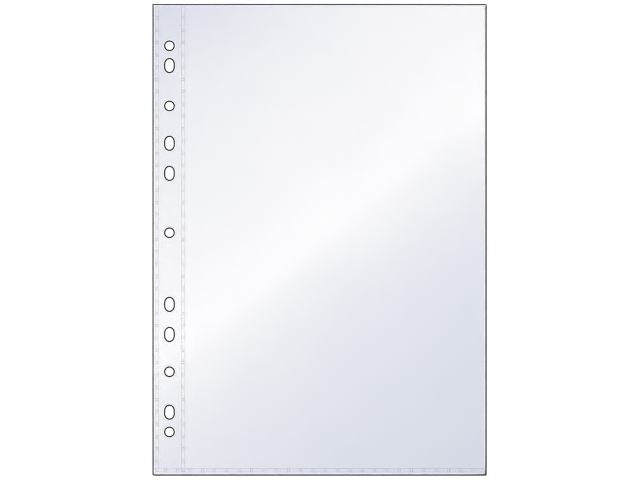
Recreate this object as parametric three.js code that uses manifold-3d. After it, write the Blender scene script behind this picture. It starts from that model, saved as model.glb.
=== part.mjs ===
// A punched plastic pocket for papers, lying on its back film with the front film up.
// X runs across the pocket, from the punched margin at -X to the folded edge at +X.
// Y runs along the pocket, from the welded bottom edge at -Y to the open mouth at +Y.
// Z is the thickness. The origin is the middle of the footprint, on the surface under the back film.
// All sizes are in millimetres.

import * as THREE from "three";
import { mergeVertices } from "three/addons/utils/BufferGeometryUtils.js";
import Module from "manifold-3d";

const wasm = await Module();
wasm.setup();

// Overall size of the pocket, and the small radius on the two corners of the margin
const WIDTH = 207;
const LENGTH = 292.4;
const CORNER_RADIUS = 0.8;
const CORNER_STEPS = 4;

// Thicknesses: the film that both faces are made of, and the reinforcing strip between them
const FILM = 0.1;
const STRIP = 0.15;

// Zones across the pocket: the stiff punched margin, then a soft crease, then the pocket itself
const MARGIN_WIDTH = 20.2;
const CREASE_WIDTH = 3;

// Punching: the line of holes from the left edge, and the distances between the holes of each pair
const HOLE_LINE = 10.2;
const HOLE_WIDTH = 6;
const SLOT_LENGTH = 8.8;
const PATTERN_RISE = 0.6; // the pattern's middle lies this far above the middle of the pocket
const ROUND_PAIRS = [240, 165.2];
const SLOT_PAIRS = [215.4, 118.8, 81.4];
const SINGLE_HOLE_RISE = 3.8; // the unpaired round hole lies this far above the pattern's middle
const HOLE_FACETS = 24;

// Welded seams: rows of short rectangular dashes pressed by a toothed bar
const SEAM_WIDTH = 2;
const DASH = 6.3;
const DASH_GAP = 1.35;
const SHORTEST_DASH = 1;
const OUTER_SEAM_INSET = 1.3; // from the left edge to the outer seam
const INNER_SEAM_INSET = 0.5; // from the inner seam to the end of the margin
const BOTTOM_SEAM_INSET = 2.1; // from the bottom edge to the bottom seam
const SEAM_END_INSET = 1.3; // from the top edge to the ends of the strip and its seams
const FIRST_BOTTOM_DASH = 5.7; // the dash in the corner is cut short by the outer seam
const PRESS_DEPTH = 0.03; // the dashes lie this far under the front film's face
const DASH_LAND = 0.35; // least film between a dash and the end of its zone

// The folded edge at the right, and how far the front film gapes in the middle of the mouth
const FOLD_STEPS = 8;
const MOUTH_GAPE = 6;
const GAPE_FOOT = 3; // flat film between the bottom seam and the start of the gape
const CELL_WIDTH = 7.1; // the gaping film's surface is made of cells of about this width and length
const CELL_LENGTH = 18;

// Corners closer together than this are one corner
const SAME_CORNER = 1e-4;

// Edges and zone borders
const LEFT = -WIDTH / 2;
const RIGHT = WIDTH / 2;
const BOTTOM = -LENGTH / 2;
const TOP = LENGTH / 2;
const MARGIN_END = LEFT + MARGIN_WIDTH;
const CREASE_END = MARGIN_END + CREASE_WIDTH;

// Heights of the layers
const BACK_FACE = FILM;
const FRONT_UNDERSIDE = FILM + STRIP;
const FRONT_FACE = FILM + STRIP + FILM;
const DASH_FACE = FRONT_FACE - PRESS_DEPTH;
const FOLD_RADIUS = FRONT_FACE / 2;
const FOLD_START = RIGHT - FOLD_RADIUS;

// Seam lines, each with its two long sides
const OUTER_SEAM = [LEFT + OUTER_SEAM_INSET, LEFT + OUTER_SEAM_INSET + SEAM_WIDTH];
const INNER_SEAM = [MARGIN_END - INNER_SEAM_INSET - SEAM_WIDTH, MARGIN_END - INNER_SEAM_INSET];
const BOTTOM_SEAM = [BOTTOM + BOTTOM_SEAM_INSET, BOTTOM + BOTTOM_SEAM_INSET + SEAM_WIDTH];
const STRIP_END = TOP - SEAM_END_INSET;

// Finishes
const clearFilm = new THREE.MeshStandardMaterial({
  color: 0xe6ebf5,
  roughness: 0.12,
  metalness: 0,
  transparent: true,
  opacity: 0.45,
});
const stripFilm = new THREE.MeshStandardMaterial({
  color: 0xd9dde8,
  roughness: 0.3,
  metalness: 0,
  transparent: true,
  opacity: 0.6,
});
const weldedFilm = new THREE.MeshStandardMaterial({
  color: 0xf1f3f8,
  roughness: 0.35,
  metalness: 0,
});

const pocket = new THREE.Group();

function addPiece(name, geometry, material) {
  const mesh = new THREE.Mesh(geometry, material);
  mesh.name = name;
  pocket.add(mesh);
}

// A closed three.js geometry as a solid that can be joined and cut
function toSolid(geometry) {
  const bare = geometry.index ? geometry.toNonIndexed() : geometry.clone();
  bare.deleteAttribute("normal");
  bare.deleteAttribute("uv");
  const merged = mergeVertices(bare, SAME_CORNER);
  return new wasm.Manifold(
    new wasm.Mesh({
      numProp: 3,
      vertProperties: merged.attributes.position.array,
      triVerts: new Uint32Array(merged.index.array),
    }),
  );
}

function toGeometry(solid) {
  const mesh = solid.getMesh();
  const geometry = new THREE.BufferGeometry();
  geometry.setAttribute("position", new THREE.BufferAttribute(mesh.vertProperties, 3));
  geometry.setIndex(new THREE.BufferAttribute(mesh.triVerts, 1));
  geometry.computeVertexNormals();
  return geometry;
}

// A rectangular block between two corners
function block(xs, ys, zs) {
  const geometry = new THREE.BoxGeometry(xs[1] - xs[0], ys[1] - ys[0], zs[1] - zs[0]);
  geometry.translate((xs[0] + xs[1]) / 2, (ys[0] + ys[1]) / 2, (zs[0] + zs[1]) / 2);
  return geometry;
}

// A flat outline given thickness from height z0 to z1
function layer(shape, z0, z1) {
  const geometry = new THREE.ExtrudeGeometry(shape, { depth: z1 - z0, bevelEnabled: false });
  geometry.translate(0, 0, z0);
  return geometry;
}

// The outline of a zone of film, with the pocket's small radius on its left corners where it has them
function zoneShape(xs, ys, radius) {
  const shape = new THREE.Shape();
  shape.moveTo(xs[1], ys[0]);
  shape.lineTo(xs[1], ys[1]);
  if (radius > 0) {
    for (const [cy, turn] of [[ys[1] - radius, Math.PI / 2], [ys[0] + radius, Math.PI]]) {
      for (let i = 0; i <= CORNER_STEPS; i += 1) {
        const angle = turn + (i / CORNER_STEPS) * (Math.PI / 2);
        shape.lineTo(xs[0] + radius + radius * Math.cos(angle), cy + radius * Math.sin(angle));
      }
    }
  } else {
    shape.lineTo(xs[0], ys[1]);
    shape.lineTo(xs[0], ys[0]);
  }
  shape.closePath();
  return shape;
}

// A hole of the punching at height y: round, or a slot where its length is more than its width
function punchedHole(y, length) {
  const x = LEFT + HOLE_LINE;
  const radius = HOLE_WIDTH / 2;
  const straight = (length - HOLE_WIDTH) / 2;
  const steps = HOLE_FACETS / 2;
  const last = straight > 0 ? steps : steps - 1;
  const points = [];
  for (const end of [0, 1]) {
    const middle = y + (end === 0 ? straight : -straight);
    for (let i = 0; i <= last; i += 1) {
      const angle = Math.PI * (end + i / steps);
      const dx = radius * Math.cos(angle);
      const dy = radius * Math.sin(angle);
      points.push(new THREE.Vector2(x + dx, middle + dy));
    }
  }
  return new THREE.Path(points);
}

// All the holes of the punching, as paths to cut from a film
function punching() {
  const middle = PATTERN_RISE;
  const holes = [punchedHole(middle + SINGLE_HOLE_RISE, HOLE_WIDTH)];
  for (const side of [-1, 1]) {
    for (const span of ROUND_PAIRS) {
      holes.push(punchedHole(middle + (side * span) / 2, HOLE_WIDTH));
    }
    for (const span of SLOT_PAIRS) {
      holes.push(punchedHole(middle + (side * span) / 2, SLOT_LENGTH));
    }
  }
  return holes;
}

// The start and end of each dash of a seam, counted from its start; the first may be shorter
function dashSpans(start, end, first = DASH) {
  const away = Math.sign(end - start);
  const total = Math.abs(end - start);
  const spans = [];
  let from = 0;
  let length = first;
  while (from + SHORTEST_DASH < total) {
    const to = Math.min(from + length, total);
    spans.push([start + away * from, start + away * to].sort((a, b) => a - b));
    from += length + DASH_GAP;
    length = DASH;
  }
  return spans;
}

// The rectangles of each seam's dashes, as [xs, ys]
const sideDashes = (seam) =>
  dashSpans(STRIP_END, BOTTOM_SEAM[1] + DASH_LAND).map((ys) => [seam, ys]);
const bottomDashes = (start, end, first) =>
  dashSpans(start, end, first).map((xs) => [xs, BOTTOM_SEAM]);
const outerDashes = sideDashes(OUTER_SEAM);
const innerDashes = sideDashes(INNER_SEAM);
const marginDashes = bottomDashes(OUTER_SEAM[0], MARGIN_END - DASH_LAND, FIRST_BOTTOM_DASH);
const pocketDashes = bottomDashes(CREASE_END + DASH_LAND, FOLD_START - DASH_LAND);

// A front film with a window cut round each dash, which the dash fills
function withWindows(geometry, dashes) {
  let film = toSolid(geometry);
  for (const [xs, ys] of dashes) {
    film = film.subtract(toSolid(block(xs, ys, [BACK_FACE, FRONT_FACE + FILM])));
  }
  return toGeometry(film);
}

// A seam: a welded bar between the films, with its dashes standing up through the front film
function weldedSeam(xs, ys, dashes) {
  let seam = toSolid(block(xs, ys, [BACK_FACE, FRONT_UNDERSIDE]));
  for (const [dashXs, dashYs] of dashes) {
    seam = seam.add(toSolid(block(dashXs, dashYs, [BACK_FACE, DASH_FACE])));
  }
  return toGeometry(seam);
}

// How far the front film stands up: nothing at its three closed edges, most in the middle of the mouth
function gapeAt(x, y) {
  const foot = BOTTOM_SEAM[1] + GAPE_FOOT;
  const across = THREE.MathUtils.clamp((x - CREASE_END) / (FOLD_START - CREASE_END), 0, 1);
  const along = THREE.MathUtils.clamp((y - foot) / (TOP - foot), 0, 1);
  const arch = 1 - Math.cos(Math.PI * across) ** 4;
  const rise = (1 - Math.cos(Math.PI * along)) / 2;
  return MOUTH_GAPE * arch * rise;
}

// A sheet of film over a grid of points, its height at each point given by gapeAt
function gapingSheet(xs, ys, z0, z1) {
  const positions = [];
  const index = [];
  const columns = xs.length;
  const count = columns * ys.length;
  for (const z of [z0, z1]) {
    for (const y of ys) {
      for (const x of xs) {
        positions.push(x, y, z + gapeAt(x, y));
      }
    }
  }
  const quad = (a, b, c, d) => index.push(a, b, c, a, c, d);
  for (let j = 0; j + 1 < ys.length; j += 1) {
    for (let i = 0; i + 1 < columns; i += 1) {
      const a = j * columns + i;
      quad(count + a, count + a + 1, count + a + 1 + columns, count + a + columns);
      quad(a, a + columns, a + 1 + columns, a + 1);
    }
  }
  const rim = (a, b) => quad(a, b, count + b, count + a);
  for (let i = 0; i + 1 < columns; i += 1) {
    rim(i, i + 1);
    rim(count - 1 - i, count - 2 - i);
  }
  for (let j = 0; j + 1 < ys.length; j += 1) {
    rim((j + 1) * columns, j * columns);
    rim((j + 1) * columns - 1, (j + 2) * columns - 1);
  }
  const geometry = new THREE.BufferGeometry();
  geometry.setAttribute("position", new THREE.Float32BufferAttribute(positions, 3));
  geometry.setIndex(index);
  geometry.computeVertexNormals();
  return geometry;
}

// Even steps from a to b, each about as long as the cell
function stepsBetween(a, b, cell) {
  const n = Math.max(2, Math.round((b - a) / cell));
  return Array.from({ length: n + 1 }, (_, i) => a + ((b - a) * i) / n);
}

// The back film, in the margin, the crease and the pocket
function addBackFilm() {
  const margin = zoneShape([LEFT, MARGIN_END], [BOTTOM, TOP], CORNER_RADIUS);
  margin.holes.push(...punching());
  addPiece("back_margin_film", layer(margin, 0, BACK_FACE), clearFilm);
  const crease = block([MARGIN_END, CREASE_END], [BOTTOM, TOP], [0, BACK_FACE]);
  addPiece("back_crease_film", crease, clearFilm);
  const panel = block([CREASE_END, FOLD_START], [BOTTOM, TOP], [0, BACK_FACE]);
  addPiece("back_panel", panel, clearFilm);
}

// The reinforcing strip, which fills the space between the two side seams and above the bottom seam
function addStrip() {
  const strip = zoneShape([OUTER_SEAM[1], INNER_SEAM[0]], [BOTTOM_SEAM[1], STRIP_END], 0);
  strip.holes.push(...punching());
  addPiece("reinforcing_strip", layer(strip, BACK_FACE, FRONT_UNDERSIDE), stripFilm);
}

function addSeams() {
  const side = [BOTTOM_SEAM[1], STRIP_END];
  addPiece("outer_seam", weldedSeam(OUTER_SEAM, side, outerDashes), weldedFilm);
  addPiece("inner_seam", weldedSeam(INNER_SEAM, side, innerDashes), weldedFilm);
  const margin = weldedSeam([OUTER_SEAM[0], MARGIN_END], BOTTOM_SEAM, marginDashes);
  addPiece("margin_bottom_seam", margin, weldedFilm);
  const crease = weldedSeam([MARGIN_END, CREASE_END], BOTTOM_SEAM, []);
  addPiece("crease_bottom_seam", crease, weldedFilm);
  const bottom = weldedSeam([CREASE_END, FOLD_START], BOTTOM_SEAM, pocketDashes);
  addPiece("pocket_bottom_seam", bottom, weldedFilm);
}

// The front film, with a window round each dash and its gaping panel over the pocket
function addFrontFilm() {
  const margin = zoneShape([LEFT, MARGIN_END], [BOTTOM, TOP], CORNER_RADIUS);
  margin.holes.push(...punching());
  const flat = layer(margin, FRONT_UNDERSIDE, FRONT_FACE);
  const dashes = [...outerDashes, ...innerDashes, ...marginDashes];
  addPiece("front_margin_film", withWindows(flat, dashes), clearFilm);
  const crease = block([MARGIN_END, CREASE_END], [BOTTOM, TOP], [FRONT_UNDERSIDE, FRONT_FACE]);
  addPiece("front_crease_film", crease, clearFilm);
  const xs = stepsBetween(CREASE_END, FOLD_START, CELL_WIDTH);
  const foot = BOTTOM_SEAM[1] + GAPE_FOOT;
  const ys = [BOTTOM, ...stepsBetween(foot, TOP, CELL_LENGTH)];
  const panel = gapingSheet(xs, ys, FRONT_UNDERSIDE, FRONT_FACE);
  addPiece("front_panel", withWindows(panel, pocketDashes), clearFilm);
}

// The folded edge, a half-round bend that joins the back film to the front film
function addFold() {
  const bend = new THREE.Shape();
  const point = (radius, i) => {
    const angle = -Math.PI / 2 + (Math.PI * i) / FOLD_STEPS;
    return [radius * Math.cos(angle), FOLD_RADIUS + radius * Math.sin(angle)];
  };
  bend.moveTo(...point(FOLD_RADIUS, 0));
  for (let i = 1; i <= FOLD_STEPS; i += 1) {
    bend.lineTo(...point(FOLD_RADIUS, i));
  }
  for (let i = FOLD_STEPS; i >= 0; i -= 1) {
    bend.lineTo(...point(FOLD_RADIUS - FILM, i));
  }
  bend.closePath();
  const geometry = new THREE.ExtrudeGeometry(bend, { depth: LENGTH, bevelEnabled: false });
  const alongY = new THREE.Matrix4().makeBasis(
    new THREE.Vector3(1, 0, 0),
    new THREE.Vector3(0, 0, 1),
    new THREE.Vector3(0, -1, 0),
  );
  geometry.applyMatrix4(alongY);
  geometry.translate(FOLD_START, TOP, 0);
  addPiece("side_fold", geometry, clearFilm);
}

addBackFilm();
addStrip();
addSeams();
addFrontFilm();
addFold();

export default pocket;
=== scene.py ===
"""Looks for a punched plastic pocket on a pale floor, seen from straight above under a soft card light.

Lengths are in millimetres in the values and plans below, and become metres where a mesh is made.
"""

import math

import bpy
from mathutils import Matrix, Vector
from mathutils.geometry import delaunay_2d_cdt


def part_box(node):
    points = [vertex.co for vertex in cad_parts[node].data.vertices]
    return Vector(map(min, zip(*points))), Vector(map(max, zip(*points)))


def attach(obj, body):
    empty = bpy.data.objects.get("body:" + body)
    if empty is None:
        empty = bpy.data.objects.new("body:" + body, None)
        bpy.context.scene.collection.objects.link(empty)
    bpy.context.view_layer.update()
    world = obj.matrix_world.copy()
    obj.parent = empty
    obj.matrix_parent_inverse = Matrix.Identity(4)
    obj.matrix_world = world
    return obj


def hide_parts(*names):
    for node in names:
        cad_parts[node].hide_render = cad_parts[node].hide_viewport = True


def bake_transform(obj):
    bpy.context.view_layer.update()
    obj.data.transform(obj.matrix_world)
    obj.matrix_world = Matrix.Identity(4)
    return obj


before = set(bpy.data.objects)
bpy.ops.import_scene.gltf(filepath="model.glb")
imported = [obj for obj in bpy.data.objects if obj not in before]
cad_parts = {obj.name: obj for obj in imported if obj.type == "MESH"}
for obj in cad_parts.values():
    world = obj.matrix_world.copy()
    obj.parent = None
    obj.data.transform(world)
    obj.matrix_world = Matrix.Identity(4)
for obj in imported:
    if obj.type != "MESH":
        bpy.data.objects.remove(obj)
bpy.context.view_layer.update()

MM = 0.001


def span(node, axis):
    """Lowest and highest coordinate of a CAD node along an axis, in millimetres."""
    low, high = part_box(node)
    return low[axis] / MM, high[axis] / MM


# The film's zones and layers, as packed
LEFT, MARGIN_END = span("back_margin_film", 0)
CREASE_END = span("back_crease_film", 0)[1]
FOLD_START = span("back_panel", 0)[1]
RIGHT = span("side_fold", 0)[1]
BOTTOM, TOP = span("back_panel", 1)
BACK_FACE = span("back_panel", 2)[1]
FRONT_UNDERSIDE, FRONT_FACE = span("front_margin_film", 2)
GAPE = span("front_panel", 2)[1] - FRONT_FACE
OUTER_SEAM, INNER_SEAM = span("outer_seam", 0), span("inner_seam", 0)
BOTTOM_SEAM = span("pocket_bottom_seam", 1)
STRIP_X, STRIP_Y = span("reinforcing_strip", 0), span("reinforcing_strip", 1)

# Punching, as in the part's source
HOLE_LINE = 10.2
HOLE_WIDTH = 6.0
SLOT_LENGTH = 8.8
PATTERN_RISE = 0.6
ROUND_PAIRS = (240.0, 165.2)
SLOT_PAIRS = (215.4, 118.8, 81.4)
SINGLE_HOLE_RISE = 3.8

# How the scene draws the holes and the strip
HOLE_STEPS = 40
SLOT_POINT = 0.3  # how far a slot's ends go from half rounds towards a full oval
STRIP_HOLE_GAIN = 0.05  # the strip's holes are this much wider all round than the films'
STRIP_PLAY = 0.03  # clear height between the strip and either film

# Seam dashes, as in the part's source
DASH = 6.3
DASH_GAP = 1.35
SHORTEST_DASH = 1.0
SEAM_END_INSET = 1.3
FIRST_BOTTOM_DASH = 5.7

# How the scene draws the dashes
LAST_DASH_INSET = 0.4  # between the last bottom dash and the fold
DASH_RIM = 0.33
RAIL_WIDTH = 0.24
MARK_LENGTH = 0.42
MARK_OVERHANG = 0.2
DASH_SPREAD = 0.2  # a dash's rim stands this far longer and wider than the welded bar under it
INNER_SEAM_REACH = 0.12  # and the inner seam's rims reach this much further towards the crease
BOTTOM_SEAM_REACH = (0.2, 0.06)  # and the bottom seam's this much further down and up
DASH_CORNER = 0.25
SMALLEST_DASH_CORNER = 0.08
DASH_CORNER_STEPS = 3
DASH_STEPS = 2
BENT_DASH_STEPS = 24  # cuts along a dash that lies across the crease
GAP_CLEARANCE = 0.01

# Heights of the dashes' parts: from the back film's face, and then from the front film's
DASH_START = 0.02
DASH_SHOULDER = 0.004
DASH_RIDGE = 0.03
PAD_LIFT = 0.006
RAIL_LIFT = 0.006
PAD_STRIP_LIFT = 0.003
MARK_LIFT = DASH_RIDGE + 0.01
BOTTOM_SEAM_LIFT = 0.004  # clears the margin's seams where the bottom seam crosses them

# The front film's arch: where it starts, as in the part's source, and how it draws the mouth back
GAPE_FOOT = 3.0
MOUTH_DRAW = 0.33
MOUTH_DRAW_POWER = 6

# Grids
FILM_CELL = 3.6
FILM_ROW_CELL = 7.2
MARGIN_CELL = 3.0
EDGE_CELL = 12.0
STRIP_CELL = 4.0
BEND_CELL = 0.2
BEND_REACH = 0.3  # the fine columns run on this far to either side of the crease
HOLE_CLEARANCE = 1.2  # no grid point lies nearer to a hole
FOLD_STEPS = 10

# Edges, their beads dark with painted shade, and the painted highlights beside them
CORNER_RADIUS = 0.8
FOLD_CORNER_RADIUS = 0.5
FOLD_CORNER_ROOM = 1.0  # the bottom edge's last point stays this far from the fold
MITRE_LIMIT = 0.5
EDGE_WIDTH = 0.86
EDGE_HEIGHT = 0.42
EDGE_OVERRUN = 0.3  # the left edge's bead runs on this far past the mouth's corner
GLEAM_WIDTH = 0.6
MARGIN_GLEAM_WIDTH = 0.65
MARGIN_GLEAM_INSET = 0.5
MOUTH_GLEAM_WIDTH = 0.48
GLEAM_HEIGHT = 0.012
GLEAM_LIFT = 0.015
MARGIN_GLEAM_LIFT = 0.03
HOLE_EDGE_WIDTH = 0.84
HOLE_EDGE_OUT = -0.03
HOLE_EDGE_POINTS = 8
HOLE_GLEAM_GAP = 0.02
HOLE_GLEAM_END = 0.48
FOLD_EDGE_INSET = 0.04
MARGIN_EDGE_INSET = 0.05
BOTTOM_EDGE_INSET = 0.04
MOUTH_EDGE_WIDTH = 0.81
MOUTH_EDGE_INSET = 0.12
BACK_MOUTH_EDGE_WIDTH = 0.5
MOUTH_EDGE_RISE = 0.06  # how much thicker than the film the mouth's beads are

# Camera and picture
CAMERA_HEIGHT = 2210.0
CAMERA_SHIFT = (0.27, -0.1)
CAMERA_LENS = 200.0
CAMERA_SENSOR = 36.0
PIXEL_FILTER = 1.0  # narrower than usual, so that the thin edge lines stay crisp


# Node helpers

def material(name):
    made = bpy.data.materials.new(name)
    made.use_nodes = True
    made.node_tree.nodes.clear()
    return made


def node(mat, kind, inputs=None, **settings):
    made = mat.node_tree.nodes.new(kind)
    for key, value in settings.items():
        setattr(made, key, value)
    for key, value in (inputs or {}).items():
        socket = made.inputs[key]
        if isinstance(value, bpy.types.NodeSocket):
            mat.node_tree.links.new(value, socket)
        else:
            socket.default_value = value
    return made


def ramp(mat, factor, stops):
    made = node(mat, "ShaderNodeValToRGB", {"Fac": factor})
    elements = made.color_ramp.elements
    while len(elements) < len(stops):
        elements.new(0.5)
    for element, (place, colour) in zip(elements, stops):
        element.position = place
        element.color = (*colour, 1)
    return made.outputs["Color"]


def noise_at(mat, scale, detail=2.0, stretch=None):
    """A noise pattern in the part's own metres, stretched along an axis where asked."""
    place = node(mat, "ShaderNodeTexCoord").outputs["Object"]
    if stretch:
        place = node(mat, "ShaderNodeMapping", {"Vector": place, "Scale": stretch}).outputs[0]
    pattern = node(mat, "ShaderNodeTexNoise", {"Vector": place, "Scale": scale, "Detail": detail})
    return pattern.outputs["Fac"]


def ranged(mat, value, low, high, start=0.3, end=0.7):
    """A value that runs from low to high while the given one runs from start to end."""
    return node(mat, "ShaderNodeMapRange", {
        "Value": value, "From Min": start, "From Max": end, "To Min": low, "To Max": high,
    }).outputs["Result"]


def schlick(mat, head_on, most):
    """How much a film mirrors: little head on and most at a grazing angle, alike on both of its faces."""
    facing = node(mat, "ShaderNodeLayerWeight", {"Blend": 0.5}).outputs["Facing"]
    power = node(mat, "ShaderNodeMath", {0: facing, 1: 5.0}, operation="POWER").outputs[0]
    return node(mat, "ShaderNodeMath", {
        0: power, 1: most - head_on, 2: head_on,
    }, operation="MULTIPLY_ADD").outputs[0]


def output(mat, shader):
    node(mat, "ShaderNodeOutputMaterial", {"Surface": shader})
    return mat


def mixed(mat, factor, first, second):
    return node(mat, "ShaderNodeMixShader", {0: factor, 1: first, 2: second}).outputs[0]


# Materials

def film_material(name, clear, cloudy, haze, head_on, most, roughness, wave):
    """See-through film: a tint that varies a little, a faint haze, and gloss over slight waves."""
    mat = material(name)
    cloud = noise_at(mat, 14.0, 3.0)
    tint = ramp(mat, cloud, [(0.35, clear), (0.65, cloudy)])
    through = node(mat, "ShaderNodeBsdfTransparent", {"Color": tint}).outputs[0]
    streaks = noise_at(mat, 60.0, 4.0, stretch=(1.0, 0.06, 1.0))
    dull = node(mat, "ShaderNodeBsdfDiffuse", {"Color": (0.86, 0.9, 0.97, 1)}).outputs[0]
    body = mixed(mat, ranged(mat, streaks, haze * 0.6, haze * 1.4), through, dull)
    ripple = noise_at(mat, 22.0, 1.0)
    bump = node(mat, "ShaderNodeBump", {"Strength": 1.0, "Distance": wave, "Height": ripple}).outputs[0]
    gloss = node(mat, "ShaderNodeBsdfGlossy", {
        "Color": (1, 1, 1, 1),
        "Roughness": ranged(mat, noise_at(mat, 180.0, 3.0), roughness * 0.8, roughness * 1.2),
        "Normal": bump,
    }).outputs[0]
    return output(mat, mixed(mat, schlick(mat, head_on, most), body, gloss))


def weld_material(name, clear, cloudy, haze):
    """Film melted together: tinted, with a slight haze and the grain of the welding bar."""
    mat = material(name)
    grain = noise_at(mat, 900.0, 3.0)
    tint = ramp(mat, grain, [(0.35, clear), (0.65, cloudy)])
    through = node(mat, "ShaderNodeBsdfTransparent", {"Color": tint}).outputs[0]
    bump = node(mat, "ShaderNodeBump", {"Strength": 0.3, "Distance": 0.00002, "Height": grain}).outputs[0]
    dull = node(mat, "ShaderNodeBsdfPrincipled", {
        "Base Color": ramp(mat, grain, [(0.3, (0.96, 0.965, 0.98)), (0.7, (1.0, 1.0, 1.0))]),
        "Roughness": 0.35,
        "Normal": bump,
    }).outputs[0]
    return output(mat, mixed(mat, haze, through, dull))


def painted_shade_edge_material():
    """The film's cut edge as a bead whose dark grey is painted shade, standing in for the darkness a clear
    cut edge shows as it bends light aside.
    """
    mat = material("film_edge")
    grain = noise_at(mat, 260.0, 3.0)
    body = node(mat, "ShaderNodeBsdfPrincipled", {
        "Base Color": ramp(mat, grain, [(0.3, (0.009, 0.0115, 0.018)), (0.7, (0.021, 0.025, 0.034))]),
        "Roughness": ranged(mat, grain, 0.3, 0.45),
        "Specular IOR Level": 0.05,
    }).outputs[0]
    through = node(mat, "ShaderNodeBsdfTransparent", {"Color": (0.5, 0.52, 0.58, 1)}).outputs[0]
    return output(mat, mixed(mat, 0.97, through, body))


def painted_highlight_material(name, glow):
    """A painted highlight: a nearly opaque whitish ribbon beside a cut edge, glowing by the given amount
    though it is no lamp.
    """
    mat = material(name)
    grain = noise_at(mat, 150.0, 2.0)
    body = node(mat, "ShaderNodeBsdfPrincipled", {
        "Base Color": ramp(mat, grain, [(0.3, (0.9, 0.92, 0.96)), (0.7, (0.97, 0.98, 1.0))]),
        "Roughness": 0.3,
        "Emission Color": (1.0, 0.98, 0.97, 1),
        "Emission Strength": glow,
    }).outputs[0]
    through = node(mat, "ShaderNodeBsdfTransparent").outputs[0]
    return output(mat, mixed(mat, ranged(mat, grain, 0.88, 0.98), through, body))


CLEAR_FILM = film_material(
    "clear_film", (0.9495, 0.9604, 0.9865), (0.9445, 0.9574, 0.9855),
    haze=0.006, head_on=0.04, most=1.0, roughness=0.055, wave=0.00004,
)
STRIP_FILM = film_material(
    "strip_film", (0.992, 0.993, 0.997), (0.988, 0.99, 0.995),
    haze=0.006, head_on=0.004, most=0.3, roughness=0.2, wave=0.00005,
)
WELD_RIM = weld_material("weld_rim", (0.898, 0.896, 0.897), (0.88, 0.88, 0.882), 0.01)
WELD_RIM_FAINT = weld_material("weld_rim_faint", (0.914, 0.916, 0.924), (0.898, 0.901, 0.911), 0.01)
WELD_PAD = weld_material("weld_pad", (1.0, 1.0, 1.0), (0.997, 0.997, 0.998), 0.08)
WELD_PAD_FAINT = weld_material("weld_pad_faint", (0.995, 0.995, 0.998), (0.99, 0.99, 0.995), 0.03)
# painted shade: the dark grey of the beads along every cut edge and hole
PAINTED_SHADE_EDGE = painted_shade_edge_material()
# painted highlight: whitish ribbons beside the closed edges and round the holes
PAINTED_HIGHLIGHT = painted_highlight_material("film_edge_painted_highlight", 0.0)
# painted highlight that also glows a little, though it is no lamp, beside the margin's edge and the mouth
GLOWING_PAINTED_HIGHLIGHT = painted_highlight_material("film_edge_glowing_painted_highlight", 0.2)


# Meshes

def make_piece(name, points, faces, materials, slots=None, smooth=True):
    """A mesh object from points in millimetres; slots gives each face's place in materials."""
    mesh = bpy.data.meshes.new(name)
    mesh.from_pydata([tuple(c * MM for c in p) for p in points], [], faces)
    for mat in materials:
        mesh.materials.append(mat)
    if slots is not None:
        mesh.polygons.foreach_set("material_index", slots)
    mesh.polygons.foreach_set("use_smooth", [smooth] * len(mesh.polygons))
    mesh.update()
    made = bpy.data.objects.new(name, mesh)
    bpy.context.scene.collection.objects.link(made)
    return made


def hole_outline(y, length, radius_gain=0.0):
    """The points round a punched hole, counter-clockwise, widened by radius_gain."""
    x, radius = LEFT + HOLE_LINE, HOLE_WIDTH / 2 + radius_gain
    extra = (length - HOLE_WIDTH) / 2
    rise, straight = radius + SLOT_POINT * extra, (1 - SLOT_POINT) * extra
    half = HOLE_STEPS // 2
    points = []
    for end, sign in ((0, 1), (1, -1)):
        last = half if straight > 0 else half - 1
        for i in range(last + 1):
            angle = math.pi * (end + i / half)
            points.append((x + radius * math.cos(angle), y + sign * straight + rise * math.sin(angle)))
    return points


def holes():
    """Middle and length of each punched hole."""
    found = [(PATTERN_RISE + SINGLE_HOLE_RISE, HOLE_WIDTH)]
    for spans, length in ((ROUND_PAIRS, HOLE_WIDTH), (SLOT_PAIRS, SLOT_LENGTH)):
        found += [(PATTERN_RISE + side * gap / 2, length) for gap in spans for side in (-1, 1)]
    return found


def even(start, end, cell):
    """Evenly spaced places from start to end, about a cell apart."""
    count = max(1, round((end - start) / cell))
    return [start + (end - start) * i / count for i in range(count + 1)]


def crease_lines(cell):
    """Places across the pocket that cut a piece finely where it bends, and elsewhere by the cell."""
    margin = even(LEFT + CORNER_RADIUS, MARGIN_END - 2 * BEND_REACH, min(cell, MARGIN_CELL))
    fine = even(MARGIN_END - BEND_REACH, CREASE_END + BEND_REACH, BEND_CELL)
    return margin + fine + even(CREASE_END + 4 * BEND_REACH, FOLD_START, cell)


def corner(cx, cy, radius, start, steps=4):
    """A quarter turn of an outline, counter-clockwise from the start angle."""
    angles = [start + i / steps * math.pi / 2 for i in range(steps + 1)]
    return [(cx + radius * math.cos(a), cy + radius * math.sin(a)) for a in angles]


def film_outline(columns, rows):
    """The film's outline, counter-clockwise from its lower left corner, with points on every grid line."""
    r = CORNER_RADIUS
    sides = [y for y in rows if BOTTOM + r < y < TOP - r]
    lower = corner(LEFT + r, BOTTOM + r, r, math.pi)
    upper = corner(LEFT + r, TOP - r, r, math.pi / 2)
    inner = [x for x in columns if x > LEFT + r + 1e-6]
    return (
        lower
        + [(x, BOTTOM) for x in inner]
        + [(inner[-1], y) for y in sides]
        + [(x, TOP) for x in reversed(inner)]
        + upper
        + [(LEFT, y) for y in reversed(sides)]
    )


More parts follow.
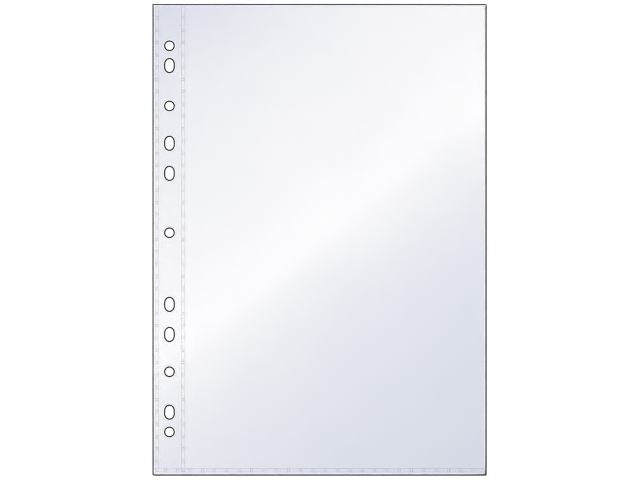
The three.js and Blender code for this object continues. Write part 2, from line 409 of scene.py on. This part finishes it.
def flat_plan(outline, openings, inner):
    """Triangles that fill an outline round its openings, with the inner points as corners too."""
    points, edges = [], []
    for loop in [outline, *openings]:
        first = len(points)
        points += loop
        edges += [(first + i, first + (i + 1) % len(loop)) for i in range(len(loop))]
    points += inner
    found = delaunay_2d_cdt([Vector(p) for p in points], edges, [], 1, 1e-5)
    corners, triangles = found[0], found[2]
    kept = []
    for t in triangles:
        middle = sum((corners[i] for i in t), Vector((0, 0))) / len(t)
        if any(inside(middle, opening) for opening in openings):
            continue
        a, b, c = (corners[i] for i in t)
        turn = (b - a).cross(c - a)
        kept.append(tuple(t) if turn > 0 else tuple(reversed(t)))
    return [tuple(c) for c in corners], kept


def inside(point, loop):
    """True if a point is inside a convex loop that runs counter-clockwise."""
    for (ax, ay), (bx, by) in zip(loop, loop[1:] + loop[:1]):
        if (bx - ax) * (point[1] - ay) - (by - ay) * (point[0] - ax) < 0:
            return False
    return True


def thick_sheet(name, plan, low, high, mat, normals=None):
    """A closed sheet over a flat plan, between the heights low(x, y) and high(x, y), sharp at its rims."""
    corners, triangles = plan
    n = len(corners)
    points = [(x, y, high(x, y)) for x, y in corners] + [(x, y, low(x, y)) for x, y in corners]
    faces = triangles + [tuple(i + n for i in reversed(t)) for t in triangles]
    edges = dict.fromkeys((a, b) for t in triangles for a, b in zip(t, t[1:] + t[:1]))
    rim = [(a, b) for a, b in edges if (b, a) not in edges]
    faces += [(b, a, a + n, b + n) for a, b in rim]
    made = make_piece(name, points, faces, [mat])
    mesh = made.data
    sharp = mesh.attributes.new("sharp_edge", "BOOLEAN", "EDGE")
    border = {frozenset(e) for a, b in rim for e in ((a, b), (a + n, b + n))}
    for edge in mesh.edges:
        if frozenset(edge.vertices) in border:
            sharp.data[edge.index].value = True
    if normals:
        given = []
        for polygon in mesh.polygons:
            for v in polygon.vertices:
                side = 1 if polygon.index < len(triangles) else -1
                flat = polygon.index < 2 * len(triangles)
                x, y, _ = points[v]
                given.append(tuple(c * side for c in normals(x, y)) if flat else (0, 0, 0))
        mesh.normals_split_custom_set(given)
    return made


def gape_at(x, y):
    """How far the front film stands up, as in the part's source."""
    foot = BOTTOM_SEAM[1] + GAPE_FOOT
    across = min(max((x - CREASE_END) / (FOLD_START - CREASE_END), 0), 1)
    along = min(max((y - foot) / (TOP - foot), 0), 1)
    return GAPE * (1 - math.cos(math.pi * across) ** 4) * (1 - math.cos(math.pi * along)) / 2


def calm_normal(x, y, share=0.04, step=0.5):
    """The front film's own normal, held near upright as on a film drawn almost flat."""
    dx = (gape_at(x + step, y) - gape_at(x - step, y)) / (2 * step)
    dy = (gape_at(x, y + step) - gape_at(x, y - step)) / (2 * step)
    return Vector((-dx * share, -dy * share, 1)).normalized()


def front_reach(x, y):
    """Where a point of the front film ends up along the pocket, as the arch draws the mouth back."""
    return y - MOUTH_DRAW * gape_at(x, y) / GAPE * max(0.0, y / TOP) ** MOUTH_DRAW_POWER


def strip_plan():
    (x0, x1), (y0, y1) = STRIP_X, STRIP_Y
    columns, rows = even(x0, x1, STRIP_CELL), even(y0, y1, EDGE_CELL)
    outline = [(x0, y) for y in reversed(rows)] + [(x, y0) for x in columns[1:]]
    outline += [(x1, y) for y in rows[1:]] + [(x, y1) for x in reversed(columns[1:-1])]
    openings = [hole_outline(y, length, STRIP_HOLE_GAIN) for y, length in holes()]
    return flat_plan(outline, openings, [])


def film_plan():
    columns = crease_lines(FILM_CELL)
    rows = even(BOTTOM, TOP, FILM_ROW_CELL)
    openings = [hole_outline(y, length) for y, length in holes()]
    keep_off = [hole_outline(y, length, HOLE_CLEARANCE) for y, length in holes()]
    inner = [
        (x, y)
        for x in columns[1:-1]
        for y in rows[1:-1]
        if not any(inside((x, y), loop) for loop in keep_off)
    ]
    return flat_plan(film_outline(columns, rows), openings, inner)


def add_films():
    plan = film_plan()
    back = thick_sheet("back_film", plan, lambda x, y: 0.0, lambda x, y: BACK_FACE, CLEAR_FILM)
    front = thick_sheet(
        "front_film", plan,
        lambda x, y: FRONT_UNDERSIDE + gape_at(x, y), lambda x, y: FRONT_FACE + gape_at(x, y),
        CLEAR_FILM, normals=calm_normal,
    )
    for vertex in front.data.vertices:
        vertex.co.y = front_reach(vertex.co.x / MM, vertex.co.y / MM) * MM
    for film, layer in ((back, "back"), (front, "front")):
        bend(film)
        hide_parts(f"{layer}_margin_film", f"{layer}_crease_film", f"{layer}_panel")


def bend(piece):
    """Bakes a piece's placing into its mesh, leaving the object at the world's origin."""
    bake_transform(piece)


def add_strip():
    low, high = BACK_FACE + STRIP_PLAY, FRONT_UNDERSIDE - STRIP_PLAY
    strip = thick_sheet("strip_insert", strip_plan(), lambda x, y: low, lambda x, y: high, STRIP_FILM)
    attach(strip, "punched_margin")
    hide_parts("reinforcing_strip")


def dash_loop(length, width, inset, side_steps):
    """The points round a dash that lies along X about the origin, in pairs mirrored in the X axis."""
    half_l, half_w = length / 2 - inset, width / 2 - inset
    r = max(DASH_CORNER - inset, SMALLEST_DASH_CORNER)
    side = half_l - r
    upper = [(half_l, 0.0)]
    upper += corner(side, half_w - r, r, 0.0, DASH_CORNER_STEPS)
    upper += [(side - 2 * side * i / side_steps, half_w) for i in range(1, side_steps)]
    upper += corner(-side, half_w - r, r, math.pi / 2, DASH_CORNER_STEPS)
    upper += [(-half_l, 0.0)]
    return upper + [(x, -y) for x, y in reversed(upper[1:-1])]


class Dashes:
    """A row of welded dashes gathered into one mesh, each with a raised rim round a flat pad."""

    def __init__(self, lift):
        self.points, self.faces, self.slots, self.lift = [], [], [], lift

    def add(self, middle, length, width, upright, side_steps=DASH_STEPS):
        length, width = length + DASH_SPREAD, width + DASH_SPREAD
        rings = [
            (DASH_RIM, BACK_FACE + DASH_START),
            (0.0, BACK_FACE + DASH_START),
            (0.0, FRONT_FACE + DASH_SHOULDER),
            (DASH_RIM * 0.5, FRONT_FACE + DASH_RIDGE),
            (DASH_RIM, FRONT_FACE + PAD_LIFT),
        ]
        first = len(self.points)
        for inset, z in rings:
            for x, y in dash_loop(length, width, inset, side_steps):
                x, y = (-y, x) if upright else (x, y)
                self.points.append((middle[0] + x, middle[1] + y, z + self.lift))
        n = (len(self.points) - first) // len(rings)
        for ring in range(len(rings) - 1):
            a, b = first + ring * n, first + (ring + 1) * n
            for i in range(n):
                j = (i + 1) % n
                self.faces.append((a + i, a + j, b + j, b + i))
                self.slots.append(0)
        top = first + (len(rings) - 1) * n
        for i in range(n // 2):
            a, b, c, d = i, i + 1, (n - i - 1) % n, (n - i) % n
            upper = list(dict.fromkeys((top + a, top + b, top + c, top + d)))
            lower = list(dict.fromkeys((first + d, first + c, first + b, first + a)))
            for face in (upper, lower):
                if len(face) > 2:
                    self.faces.append(tuple(face))
                    self.slots.append(1)

    def bar(self, xs, ys, upright, middle, lift, slot=0):
        """A low bar between two places along the seam and two across it."""
        first = len(self.points)
        for z in (BACK_FACE + DASH_START, FRONT_FACE + lift):
            for x, y in ((xs[0], ys[0]), (xs[1], ys[0]), (xs[1], ys[1]), (xs[0], ys[1])):
                x, y = (middle - y, x) if upright else (x, middle + y)
                self.points.append((x, y, z + self.lift))
        box = ((3, 2, 1, 0), (4, 5, 6, 7), (0, 1, 5, 4), (1, 2, 6, 5), (2, 3, 7, 6), (3, 0, 4, 7))
        self.faces += [tuple(first + i for i in face) for face in box]
        self.slots += [slot] * len(box)

    def between(self, start, end, middle, width, upright):
        """The lines and strip that run on to the next dash, and the cross marks where the gap ends."""
        half = (width + DASH_SPREAD) / 2
        inner = (start + MARK_LENGTH / 2, end - MARK_LENGTH / 2)
        for side in ((half - RAIL_WIDTH, half), (-half, RAIL_WIDTH - half)):
            self.bar(inner, side, upright, middle, RAIL_LIFT)
        self.bar(inner, (RAIL_WIDTH - half, half - RAIL_WIDTH), upright, middle, PAD_STRIP_LIFT, slot=1)
        across = (-half - MARK_OVERHANG, half + MARK_OVERHANG)
        for place in (start, end):
            ends = (place - MARK_LENGTH / 2, place + MARK_LENGTH / 2)
            self.bar(ends, across, upright, middle, MARK_LIFT)

    def piece(self, name, materials, *nodes):
        made = make_piece(name, self.points, self.faces, materials, self.slots, smooth=False)
        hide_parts(*nodes)
        return made


def dash_spans(start, end, first=DASH):
    """The ends of each dash from start to end; the first may be shorter."""
    away, total = math.copysign(1, end - start), abs(end - start)
    spans, place, length = [], 0.0, first
    while place + SHORTEST_DASH < total:
        stop = min(place + length, total)
        spans.append(sorted((start + away * place, start + away * stop)))
        place += length + DASH_GAP
        length = DASH
    return spans


def gaps(spans):
    """The bare stretches between neighbouring dashes, clear of their rims."""
    reach = DASH_SPREAD / 2 + GAP_CLEARANCE
    ordered = sorted(spans)
    return [(before[1] + reach, after[0] - reach) for before, after in zip(ordered, ordered[1:])]


def add_seams():
    wider = (INNER_SEAM[0], INNER_SEAM[1] + INNER_SEAM_REACH)
    for replaced, seam in (("outer_seam", OUTER_SEAM), ("inner_seam", wider)):
        row = Dashes(0.0)
        middle, width = sum(seam) / 2, seam[1] - seam[0]
        spans = dash_spans(TOP - SEAM_END_INSET, BOTTOM_SEAM[0])
        for y0, y1 in spans:
            row.add((middle, (y0 + y1) / 2), y1 - y0, width, upright=True)
        for y0, y1 in gaps(spans):
            row.between(y0, y1, middle, width, upright=True)
        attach(row.piece(f"{replaced}_welds", [WELD_RIM, WELD_PAD], replaced), "punched_margin")
    row = Dashes(BOTTOM_SEAM_LIFT)
    low, high = BOTTOM_SEAM[0] - BOTTOM_SEAM_REACH[0], BOTTOM_SEAM[1] + BOTTOM_SEAM_REACH[1]
    middle, width = (low + high) / 2, high - low
    spans = dash_spans(OUTER_SEAM[0], FOLD_START - LAST_DASH_INSET, FIRST_BOTTOM_DASH)
    for x0, x1 in spans:
        bends = x0 < CREASE_END and x1 > MARGIN_END
        side_steps = BENT_DASH_STEPS if bends else DASH_STEPS
        row.add(((x0 + x1) / 2, middle), x1 - x0, width, upright=False, side_steps=side_steps)
    for x0, x1 in gaps(spans):
        row.between(x0, x1, middle, width, upright=False)
    nodes = ("margin_bottom_seam", "crease_bottom_seam", "pocket_bottom_seam")
    bend(row.piece("bottom_seam_welds", [WELD_RIM_FAINT, WELD_PAD_FAINT], *nodes))


def add_fold():
    """The bend of film that joins the back to the front, wrapped round the far side of the pocket."""
    radius = FRONT_FACE / 2
    rows = even(BOTTOM, TOP, EDGE_CELL)
    profile = []
    for r, turn in ((radius, 1), (radius - BACK_FACE, -1)):
        angles = [-math.pi / 2 + math.pi * i / FOLD_STEPS for i in range(FOLD_STEPS + 1)][::turn]
        profile += [(FOLD_START + r * math.cos(a), radius + r * math.sin(a)) for a in angles]
    fold = sweep("fold_bend", [[(x, y, z) for x, z in profile] for y in rows], [CLEAR_FILM])
    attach(fold, "pocket_leaf")
    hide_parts("side_fold")


def sweep(name, rings, materials, closed=False):
    """A closed tube through rings of points; an open one gets a flat face at each end."""
    n, count = len(rings[0]), len(rings)
    points = [p for ring in rings for p in ring]
    faces = []
    for k in range(count if closed else count - 1):
        a, b = k * n, (k + 1) % count * n
        faces += [(a + i, a + (i + 1) % n, b + (i + 1) % n, b + i) for i in range(n)]
    if not closed:
        faces += [tuple(reversed(range(n))), tuple((count - 1) * n + i for i in range(n))]
    made = make_piece(name, points, faces, materials)
    turn_out(made.data)
    return made


def turn_out(mesh):
    """Flips a closed mesh whose faces point inwards."""
    volume = 0.0
    for p in mesh.polygons:
        vs = [mesh.vertices[i].co for i in p.vertices]
        volume += sum(vs[0].dot(vs[i].cross(vs[i + 1])) for i in range(1, len(vs) - 1))
    if volume < 0:
        mesh.flip_normals()
        mesh.update()


def side_of_path(path, closed=False):
    """Points of a path with the unit vector to the right of the way it runs, mitred at its bends."""
    made = []
    for i, p in enumerate(path):
        before = path[i - 1] if closed or i > 0 else p
        after = path[(i + 1) % len(path)] if closed or i + 1 < len(path) else p
        into = Vector(p[:2]) - Vector(before[:2])
        out = Vector(after[:2]) - Vector(p[:2])
        into = into.normalized() if into.length > 1e-9 else out.normalized()
        out = out.normalized() if out.length > 1e-9 else into
        along = (into + out).normalized()
        stretch = 1 / max(MITRE_LIMIT, along.dot(out))
        made.append((p, Vector((along.y, -along.x)) * stretch))
    return made


def round_profile(width, height, points=10):
    """An ellipse that rests on the path's height: (offset, height) pairs round it."""
    angles = [2 * math.pi * i / points for i in range(points)]
    return [(width / 2 * math.cos(a), height / 2 * (1 + math.sin(a))) for a in angles]


def along_path(name, path, profile, materials, closed=False):
    """A profile of (offset to the right, height) pairs carried along a path of (x, y, z) points."""
    rings = [
        [(p[0] + side.x * off, p[1] + side.y * off, p[2] + up) for off, up in profile]
        for p, side in side_of_path(path, closed)
    ]
    return sweep(name, rings, materials, closed)


def closed_edges_path():
    """From the mouth down the margin's edge, along the bottom and up the fold, counter-clockwise."""
    r = CORNER_RADIUS
    rows = [y for y in even(BOTTOM, TOP, EDGE_CELL) if BOTTOM + r < y < TOP]
    edge, base = LEFT + MARGIN_EDGE_INSET, BOTTOM + BOTTOM_EDGE_INSET
    left = [(edge, TOP + EDGE_OVERRUN)] + [(edge, y) for y in reversed(rows)]
    bottom = corner(edge + r, base + r, r, math.pi)
    columns = [x for x in crease_lines(EDGE_CELL) if x < RIGHT - FOLD_CORNER_ROOM]
    bottom += [(x, base) for x in columns[1:]]
    turn = FOLD_CORNER_RADIUS
    edge = RIGHT - FOLD_EDGE_INSET
    right = corner(edge - turn, base + turn, turn, -math.pi / 2)
    right += [(edge, y) for y in rows] + [(edge, TOP)]
    return [(x, y, 0.0) for x, y in left + bottom + right]


def mouth_path(front):
    """Along the mouth from the margin's edge to the fold, on the back film or on the arched front film."""
    columns = [LEFT] + crease_lines(FILM_CELL) + [RIGHT]
    if not front:
        return [(x, TOP - MOUTH_EDGE_INSET, 0.0) for x in columns]
    return [
        (x, front_reach(x, TOP) - MOUTH_EDGE_INSET, FRONT_UNDERSIDE + gape_at(x, TOP))
        for x in columns
    ]


# Beads along the cut edges, coloured dark grey with painted shade
def add_edges():
    bead = round_profile(EDGE_WIDTH, EDGE_HEIGHT)
    bend(along_path("closed_edges", closed_edges_path(), bead, [PAINTED_SHADE_EDGE]))
    thickness = BACK_FACE + MOUTH_EDGE_RISE
    bead = round_profile(BACK_MOUTH_EDGE_WIDTH, thickness)
    bend(along_path("back_mouth_edge", mouth_path(False), bead, [PAINTED_SHADE_EDGE]))
    bead = round_profile(MOUTH_EDGE_WIDTH, thickness)
    front = along_path("front_mouth_edge", mouth_path(True), bead, [PAINTED_SHADE_EDGE])
    front.visible_shadow = False
    bend(front)


def ribbon(inner, outer, base):
    """A thin band on the left of a path, between two distances from it."""
    top = base + GLEAM_HEIGHT
    return [(-inner, base), (-inner, top), (-outer, top), (-outer, base)]


# Ribbons of painted highlight beside the closed edges, the margin's edge and the mouth
def add_painted_highlights():
    start = EDGE_WIDTH / 2
    flat = ribbon(start, start + GLEAM_WIDTH, FRONT_FACE + GLEAM_LIFT)
    bend(along_path("closed_edges_painted_highlight", closed_edges_path(), flat, [PAINTED_HIGHLIGHT]))
    margin = [(LEFT, y, 0.0) for y in (TOP - MARGIN_GLEAM_INSET, 0.0, BOTTOM + CORNER_RADIUS)]
    bright = ribbon(start, start + MARGIN_GLEAM_WIDTH, FRONT_FACE + MARGIN_GLEAM_LIFT)
    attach(along_path("margin_edge_painted_highlight", margin, bright, [GLOWING_PAINTED_HIGHLIGHT]), "punched_margin")
    start = MOUTH_EDGE_WIDTH / 2
    left = ribbon(start, start + MOUTH_GLEAM_WIDTH, BACK_FACE + GLEAM_LIFT)
    right = [(-off, up) for off, up in left]
    high = along_path("mouth_painted_highlight", mouth_path(True), right, [GLOWING_PAINTED_HIGHLIGHT])
    high.visible_shadow = False
    bend(high)


# Round each hole: a bead of painted shade and, outside it, a ring of painted highlight
def add_hole_edges():
    half = HOLE_EDGE_WIDTH / 2
    bead = round_profile(HOLE_EDGE_WIDTH, EDGE_HEIGHT, HOLE_EDGE_POINTS)
    painted_halo = ribbon(-half - HOLE_GLEAM_GAP, -half - HOLE_GLEAM_END, FRONT_FACE + GLEAM_LIFT)
    for i, (y, length) in enumerate(sorted(holes(), reverse=True)):
        path = [(px, py, 0.0) for px, py in hole_outline(y, length, HOLE_EDGE_OUT)]
        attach(along_path(f"hole_{i + 1:02d}_edge", path, bead, [PAINTED_SHADE_EDGE], closed=True), "punched_margin")
        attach(along_path(f"hole_{i + 1:02d}_gleam", path, painted_halo, [PAINTED_HIGHLIGHT], closed=True), "punched_margin")


# Stage

FLOOR_CLEARNESS = 0.7
FLOOR_HALF = 9000.0
FLOOR_LEVEL = -0.05


def add_floor():
    """A pale floor that lets light through like a light table, so a leaf turned below it still shows."""
    mat = material("floor_paper")
    grain = noise_at(mat, 35.0, 4.0)
    dull = node(mat, "ShaderNodeBsdfDiffuse", {
        "Color": ramp(mat, grain, [(0.3, (0.96, 0.96, 0.962)), (0.7, (0.97, 0.97, 0.972))]),
    }).outputs[0]
    clear = node(mat, "ShaderNodeBsdfTransparent").outputs[0]
    output(mat, mixed(mat, FLOOR_CLEARNESS, dull, clear))
    h, z = FLOOR_HALF, FLOOR_LEVEL
    corners = [(-h, -h, z), (h, -h, z), (h, h, z), (-h, h, z)]
    make_piece("floor", corners, [(0, 1, 2, 3)], [mat])


CARD_HEIGHT = 3000.0
CARD_HALF = 900.0
CARD_REACH = 430.0
CARD_WAY = (0.61, -0.79, 0)
CARD_COLOUR = (1, 0.836, 0.565, 1)
CARD_POWER = 3.06
# The card's brightness along that way, from its upper left to its lower right
CARD_STOPS = (
    (0.0, 0.24), (0.045, 0.28), (0.08, 0.365), (0.125, 0.49), (0.185, 0.62), (0.29, 0.745), (0.42, 0.84),
    (0.475, 0.945), (0.505, 1.0), (0.516, 0.855), (0.54, 0.72), (0.565, 0.68), (0.61, 0.53), (0.665, 0.42),
    (0.72, 0.345), (0.8, 0.24), (0.88, 0.17), (0.96, 0.1), (1.0, 0.08),
)


def component(tree, vector, way):
    """How far a vector runs along a way."""
    return node(tree, "ShaderNodeVectorMath", {0: vector, 1: way}, operation="DOT_PRODUCT").outputs["Value"]


def grey(stops):
    return [(place, (value, value, value)) for place, value in stops]


def add_card():
    """The overhead card: a broad band of light, sharp on one side and fading slowly on the other."""
    mat = material("card_light")
    place = node(mat, "ShaderNodeTexCoord").outputs["Object"]
    across = component(mat, place, CARD_WAY)
    reach = CARD_REACH * MM
    light = ramp(mat, ranged(mat, across, 0.0, 1.0, -reach, reach), grey(CARD_STOPS))
    warm = node(
        mat, "ShaderNodeMix", {"Factor": 1.0, "A": light, "B": CARD_COLOUR},
        data_type="RGBA", blend_type="MULTIPLY",
    ).outputs["Result"]
    output(mat, node(mat, "ShaderNodeEmission", {"Color": warm, "Strength": CARD_POWER}).outputs[0])
    h = CARD_HALF
    card = make_piece("card", [(-h, -h, 0), (-h, h, 0), (h, h, 0), (h, -h, 0)], [(0, 1, 2, 3)], [mat])
    card.location.z = CARD_HEIGHT * MM


def add_light(name, place):
    """A soft square light that faces the origin."""
    lamp = bpy.data.lights.new(name, "AREA")
    lamp.shape, lamp.size, lamp.energy = "SQUARE", SIDE_LIGHT_SIZE, SIDE_LIGHT_POWER
    made = bpy.data.objects.new(name, lamp)
    made.location = place
    made.rotation_mode = "QUATERNION"
    made.rotation_quaternion = (-Vector(place)).to_track_quat("-Z", "Y")
    bpy.context.scene.collection.objects.link(made)


SIDE_LIGHTS = {"side_light_left": (-2.3, 0.9, 1.9), "side_light_right": (2.1, -1.3, 2.1)}
SIDE_LIGHT_SIZE = 1.6
SIDE_LIGHT_POWER = 16.0
# The room's brightness from straight below, over the horizon, to straight above
ROOM_STOPS = (
    (0.0, (1.0, 1.0, 1.0)), (0.49, (1.0, 1.0, 1.0)), (0.5, (1.08, 1.08, 1.08)), (0.509, (1.08, 1.08, 1.08)),
    (0.52, (0.78, 0.8, 0.83)), (0.575, (0.57, 0.585, 0.615)), (0.73, (0.57, 0.585, 0.615)),
    (0.85, (1.13, 1.145, 1.175)), (1.0, (1.13, 1.145, 1.175)),
)
# Long soft windows low in the room: where each stands, the way its band is tilted, and its power
WINDOWS = (
    ((-0.641, 0.641, 0.423), (0.684, 0.226, 0.694), 0.75),
    ((0.683, -0.683, 0.259), (-0.595, -0.315, 0.74), 0.45),
)
WINDOW_CAP = (0.9, 0.98)
WINDOW_REACH = 0.1
WINDOW_STOPS = ((0.1, 0.0), (0.45, 1.0), (0.52, 1.0), (0.58, 0.35), (0.85, 0.0))


def window_light(world, way, aim, tilt):
    """A soft band of light round one direction of the room."""
    cap = ranged(world, component(world, way, aim), 0.0, 1.0, *WINDOW_CAP)
    over = ranged(world, component(world, way, tilt), 0.0, 1.0, -WINDOW_REACH, WINDOW_REACH)
    band = ramp(world, over, grey(WINDOW_STOPS))
    return node(world, "ShaderNodeMath", {0: cap, 1: band}, operation="MULTIPLY").outputs[0]


def add_world():
    """A pale room: white at the horizon, dimmer above it, bright overhead, with two soft windows."""
    world = bpy.data.worlds.new("studio")
    bpy.context.scene.world = world
    world.use_nodes = True
    world.node_tree.nodes.clear()
    way = node(world, "ShaderNodeTexCoord").outputs["Generated"]
    height = node(world, "ShaderNodeSeparateXYZ", {0: way}).outputs["Z"]
    light = node(world, "ShaderNodeBackground", {
        "Color": ramp(world, ranged(world, height, 0.0, 1.0, -1.0, 1.0), ROOM_STOPS),
    }).outputs[0]
    for aim, tilt, power in WINDOWS:
        band = window_light(world, way, aim, tilt)
        glow = node(world, "ShaderNodeMath", {0: band, 1: power}, operation="MULTIPLY").outputs[0]
        more = node(world, "ShaderNodeBackground", {"Color": (1, 1, 1, 1), "Strength": glow}).outputs[0]
        light = node(world, "ShaderNodeAddShader", {0: light, 1: more}).outputs[0]
    node(world, "ShaderNodeOutputWorld", {"Surface": light})


def add_camera():
    data = bpy.data.cameras.new("camera")
    data.lens, data.sensor_width = CAMERA_LENS, CAMERA_SENSOR
    camera = bpy.data.objects.new("camera", data)
    camera.location = (CAMERA_SHIFT[0] * MM, CAMERA_SHIFT[1] * MM, CAMERA_HEIGHT * MM)
    bpy.context.scene.collection.objects.link(camera)
    bpy.context.scene.camera = camera


def set_look():
    scene = bpy.context.scene
    scene.view_settings.view_transform = "Standard"
    scene.view_settings.look = "None"
    scene.cycles.transparent_max_bounces = 32
    scene.cycles.caustics_reflective = False
    scene.cycles.filter_width = PIXEL_FILTER


add_camera()
set_look()
add_films()
add_strip()
add_seams()
add_fold()
add_edges()
add_painted_highlights()
add_hole_edges()
add_floor()
add_card()
add_world()
for light_name, light_place in SIDE_LIGHTS.items():
    add_light(light_name, light_place)
